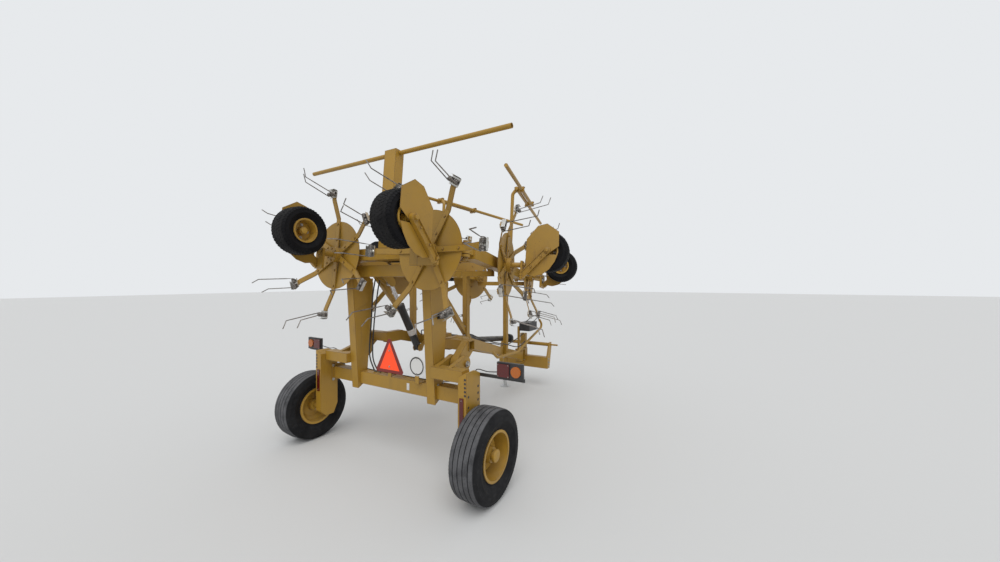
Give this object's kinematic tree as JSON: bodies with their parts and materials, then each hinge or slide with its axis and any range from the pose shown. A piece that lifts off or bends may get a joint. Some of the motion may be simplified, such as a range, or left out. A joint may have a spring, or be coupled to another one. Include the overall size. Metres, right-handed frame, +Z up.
{
  "type": "hay tedder",
  "caption": "Trailed rotary hay tedder folded on its transport wheels, with dished rotors, double spring tines, gauge wheels, folding wings and a swivel drawbar.",
  "frame": {"origin": "ground level, centre of the machine's bounding box as it stands parked and folded", "axes": "+X to the machine's right, +Y forward to the hitch, +Z up"},
  "size_m": [3.0303, 4.2559, 3.1687],
  "materials": {
    "paint": "satin ochre-yellow paint, faded and dusty",
    "tyre": "black rubber, dusty tread",
    "turf": "black turf tyre",
    "rim": "yellow paint",
    "spring": "galvanised clamps and spring steel tines",
    "galvanised": "galvanised",
    "cylinder": "black paint",
    "rod": "hard chrome",
    "black": "black plastic guard",
    "red": "red lens",
    "amber": "amber lens",
    "sign": "fluorescent orange-red sheet, dark red border",
    "white": "white sheet, blank, black ring"
  },
  "bodies": {
    "drawbar": {"drawbar": "paint", "wing_rests": "paint", "pto_shaft": "black", "storage_box": "black", "input_gearbox": "paint", "hose_guide": "paint"},
    "hitch": {"hitch_head": "paint"},
    "jack": {"jack_leg": "galvanised"},
    "rear_frame": {"centre_beam": "paint", "guard_mast": "paint", "centre_struts": "paint", "tower_posts": "paint", "axle_beam": "paint", "wheel_legs": "paint", "lamp_housings": "paint", "red_lenses": "red", "amber_lenses": "amber", "warning_triangle": "sign", "speed_sign": "white"},
    "wing_right": {"wing_beam_right": "paint", "wing_guard_right": "paint", "wing_struts_right": "paint"},
    "wing_left": {"wing_beam_left": "paint", "wing_guard_left": "paint", "wing_struts_left": "paint"},
    "road_wheel_right": {"road_tyre_right": "tyre", "road_rim_right": "rim"},
    "road_wheel_left": {"road_tyre_left": "tyre", "road_rim_left": "rim"},
    "lift_barrel": {"lift_barrel": "cylinder"},
    "lift_rod": {"lift_rod": "rod"},
    "fold_barrel_right": {"fold_barrel_right": "cylinder"},
    "fold_rod_right": {"fold_rod_right": "rod"},
    "fold_barrel_left": {"fold_barrel_left": "cylinder"},
    "fold_rod_left": {"fold_rod_left": "rod"},
    "rotor_1": {"rotor_1": "paint", "tines_1": "spring"},
    "gauge_wheel_1": {"gauge_tyre_1": "turf", "gauge_rim_1": "rim"},
    "rotor_2": {"rotor_2": "paint", "tines_2": "spring"},
    "gauge_wheel_2": {"gauge_tyre_2": "turf", "gauge_rim_2": "rim"},
    "rotor_3": {"rotor_3": "paint", "tines_3": "spring"},
    "gauge_wheel_3": {"gauge_tyre_3": "turf", "gauge_rim_3": "rim"},
    "rotor_4": {"rotor_4": "paint", "tines_4": "spring"},
    "gauge_wheel_4": {"gauge_tyre_4": "turf", "gauge_rim_4": "rim"},
    "rotor_5": {"rotor_5": "paint", "tines_5": "spring"},
    "gauge_wheel_5": {"gauge_tyre_5": "turf", "gauge_rim_5": "rim"},
    "rotor_6": {"rotor_6": "paint", "tines_6": "spring"},
    "gauge_wheel_6": {"gauge_tyre_6": "turf", "gauge_rim_6": "rim"}
  },
  "joints": [
    {"name": "hitch_swivel", "type": "hinge", "parent": "drawbar", "child": "hitch", "pos_m": [0, 1.6, 0.53], "axis": [0, 0, 1], "range_deg": [-35, 35]},
    {"name": "jack_slide", "type": "slide", "parent": "drawbar", "child": "jack", "axis": [0, 0, 1], "range_m": [0, 0.3]},
    {"name": "frame_tilt", "type": "hinge", "parent": "drawbar", "child": "rear_frame", "pos_m": [0, -1.12, 1.025], "axis": [1, 0, 0], "range_deg": [0, 86]},
    {"name": "wing_fold_right", "type": "hinge", "parent": "rear_frame", "child": "wing_right", "pos_m": [0.96, -1.36046, 2.08954], "axis": [0, -0.0872, -0.9962], "range_deg": [0, 104]},
    {"name": "wing_fold_left", "type": "hinge", "parent": "rear_frame", "child": "wing_left", "pos_m": [-0.96, -1.36046, 2.08954], "axis": [0, 0.0872, 0.9962], "range_deg": [0, 104]},
    {"name": "road_wheel_right_spin", "type": "hinge", "parent": "rear_frame", "child": "road_wheel_right", "pos_m": [1.206, -1.4, 0.38], "axis": [1, 0, 0], "continuous": true},
    {"name": "road_wheel_left_spin", "type": "hinge", "parent": "rear_frame", "child": "road_wheel_left", "pos_m": [-1.206, -1.4, 0.38], "axis": [1, 0, 0], "continuous": true},
    {"name": "rotor_1_spin", "type": "hinge", "parent": "rear_frame", "child": "rotor_1", "pos_m": [-0.65, -1.48, 2.1], "axis": [0, 0.9962, -0.0872], "continuous": true},
    {"name": "gauge_wheel_1_spin", "type": "hinge", "parent": "rear_frame", "child": "gauge_wheel_1", "pos_m": [-0.57, -1.9243, 2.29948], "axis": [1, 0, 0], "continuous": true},
    {"name": "rotor_2_spin", "type": "hinge", "parent": "rear_frame", "child": "rotor_2", "pos_m": [0.65, -1.48, 2.1], "axis": [0, 0.9962, -0.0872], "continuous": true},
    {"name": "gauge_wheel_2_spin", "type": "hinge", "parent": "rear_frame", "child": "gauge_wheel_2", "pos_m": [0.75, -1.9243, 2.29948], "axis": [1, 0, 0], "continuous": true},
    {"name": "rotor_3_spin", "type": "hinge", "parent": "wing_right", "child": "rotor_3", "pos_m": [0.83693, -0.3746, 2.00329], "axis": [-0.9703, -0.241, 0.0211], "continuous": true},
    {"name": "gauge_wheel_3_spin", "type": "hinge", "parent": "wing_right", "child": "gauge_wheel_3", "pos_m": [1.25908, -0.15313, 2.14452], "axis": [-0.2419, 0.9666, -0.0846], "continuous": true},
    {"name": "rotor_4_spin", "type": "hinge", "parent": "wing_right", "child": "rotor_4", "pos_m": [0.52243, 0.88199, 1.89335], "axis": [-0.9703, -0.241, 0.0211], "continuous": true},
    {"name": "gauge_wheel_4_spin", "type": "hinge", "parent": "wing_right", "child": "gauge_wheel_4", "pos_m": [0.94458, 1.10345, 2.03459], "axis": [-0.2419, 0.9666, -0.0846], "continuous": true},
    {"name": "rotor_5_spin", "type": "hinge", "parent": "wing_left", "child": "rotor_5", "pos_m": [-0.83693, -0.3746, 2.00329], "axis": [0.9703, -0.241, 0.0211], "continuous": true},
    {"name": "gauge_wheel_5_spin", "type": "hinge", "parent": "wing_left", "child": "gauge_wheel_5", "pos_m": [-1.30262, -0.32712, 2.15975], "axis": [-0.2419, -0.9666, 0.0846], "continuous": true},
    {"name": "rotor_6_spin", "type": "hinge", "parent": "wing_left", "child": "rotor_6", "pos_m": [-0.52243, 0.88199, 1.89335], "axis": [0.9703, -0.241, 0.0211], "continuous": true},
    {"name": "gauge_wheel_6_spin", "type": "hinge", "parent": "wing_left", "child": "gauge_wheel_6", "pos_m": [-0.98812, 0.92946, 2.04981], "axis": [-0.2419, -0.9666, 0.0846], "continuous": true},
    {"name": "lift_barrel_turn", "type": "hinge", "parent": "drawbar", "child": "lift_barrel", "pos_m": [-0.3, -0.6, 1], "axis": [1, 0, 0], "range_deg": [-1, 55.09]},
    {"name": "lift_rod_slide", "type": "slide", "parent": "lift_barrel", "child": "lift_rod", "axis": [0, -0.4869, 0.8734], "range_m": [-0.004, 0.3851]},
    {"name": "fold_barrel_right_turn", "type": "hinge", "parent": "rear_frame", "child": "fold_barrel_right", "pos_m": [-0.13, -1.22179, 2.04529], "axis": [0, -0.0872, -0.9962], "range_deg": [-1, 8.86]},
    {"name": "fold_rod_right_slide", "type": "slide", "parent": "fold_barrel_right", "child": "fold_rod_right", "axis": [0.9855, 0.1692, -0.0148], "range_m": [-0.004, 0.5993]},
    {"name": "fold_barrel_left_turn", "type": "hinge", "parent": "rear_frame", "child": "fold_barrel_left", "pos_m": [0.13, -1.21621, 2.10904], "axis": [0, 0.0872, 0.9962], "range_deg": [-1, 8.86]},
    {"name": "fold_rod_left_slide", "type": "slide", "parent": "fold_barrel_left", "child": "fold_rod_left", "axis": [-0.9855, 0.1692, -0.0148], "range_m": [-0.004, 0.5993]}
  ],
  "couplings": [
    {"joint": "rotor_2_spin", "follows": "rotor_1_spin", "ratio": -1},
    {"joint": "rotor_3_spin", "follows": "rotor_1_spin", "ratio": 1},
    {"joint": "rotor_4_spin", "follows": "rotor_1_spin", "ratio": -1},
    {"joint": "rotor_5_spin", "follows": "rotor_1_spin", "ratio": -1},
    {"joint": "rotor_6_spin", "follows": "rotor_1_spin", "ratio": 1},
    {"joint": "lift_barrel_turn", "follows": "frame_tilt", "ratio": 0.62896},
    {"joint": "lift_rod_slide", "follows": "frame_tilt", "m_per_rad": 0.25388},
    {"joint": "fold_barrel_right_turn", "follows": "wing_fold_right", "ratio": 0.07556},
    {"joint": "fold_rod_right_slide", "follows": "wing_fold_right", "m_per_rad": 0.32795},
    {"joint": "fold_barrel_left_turn", "follows": "wing_fold_left", "ratio": 0.07556},
    {"joint": "fold_rod_left_slide", "follows": "wing_fold_left", "m_per_rad": 0.32795}
  ]
}
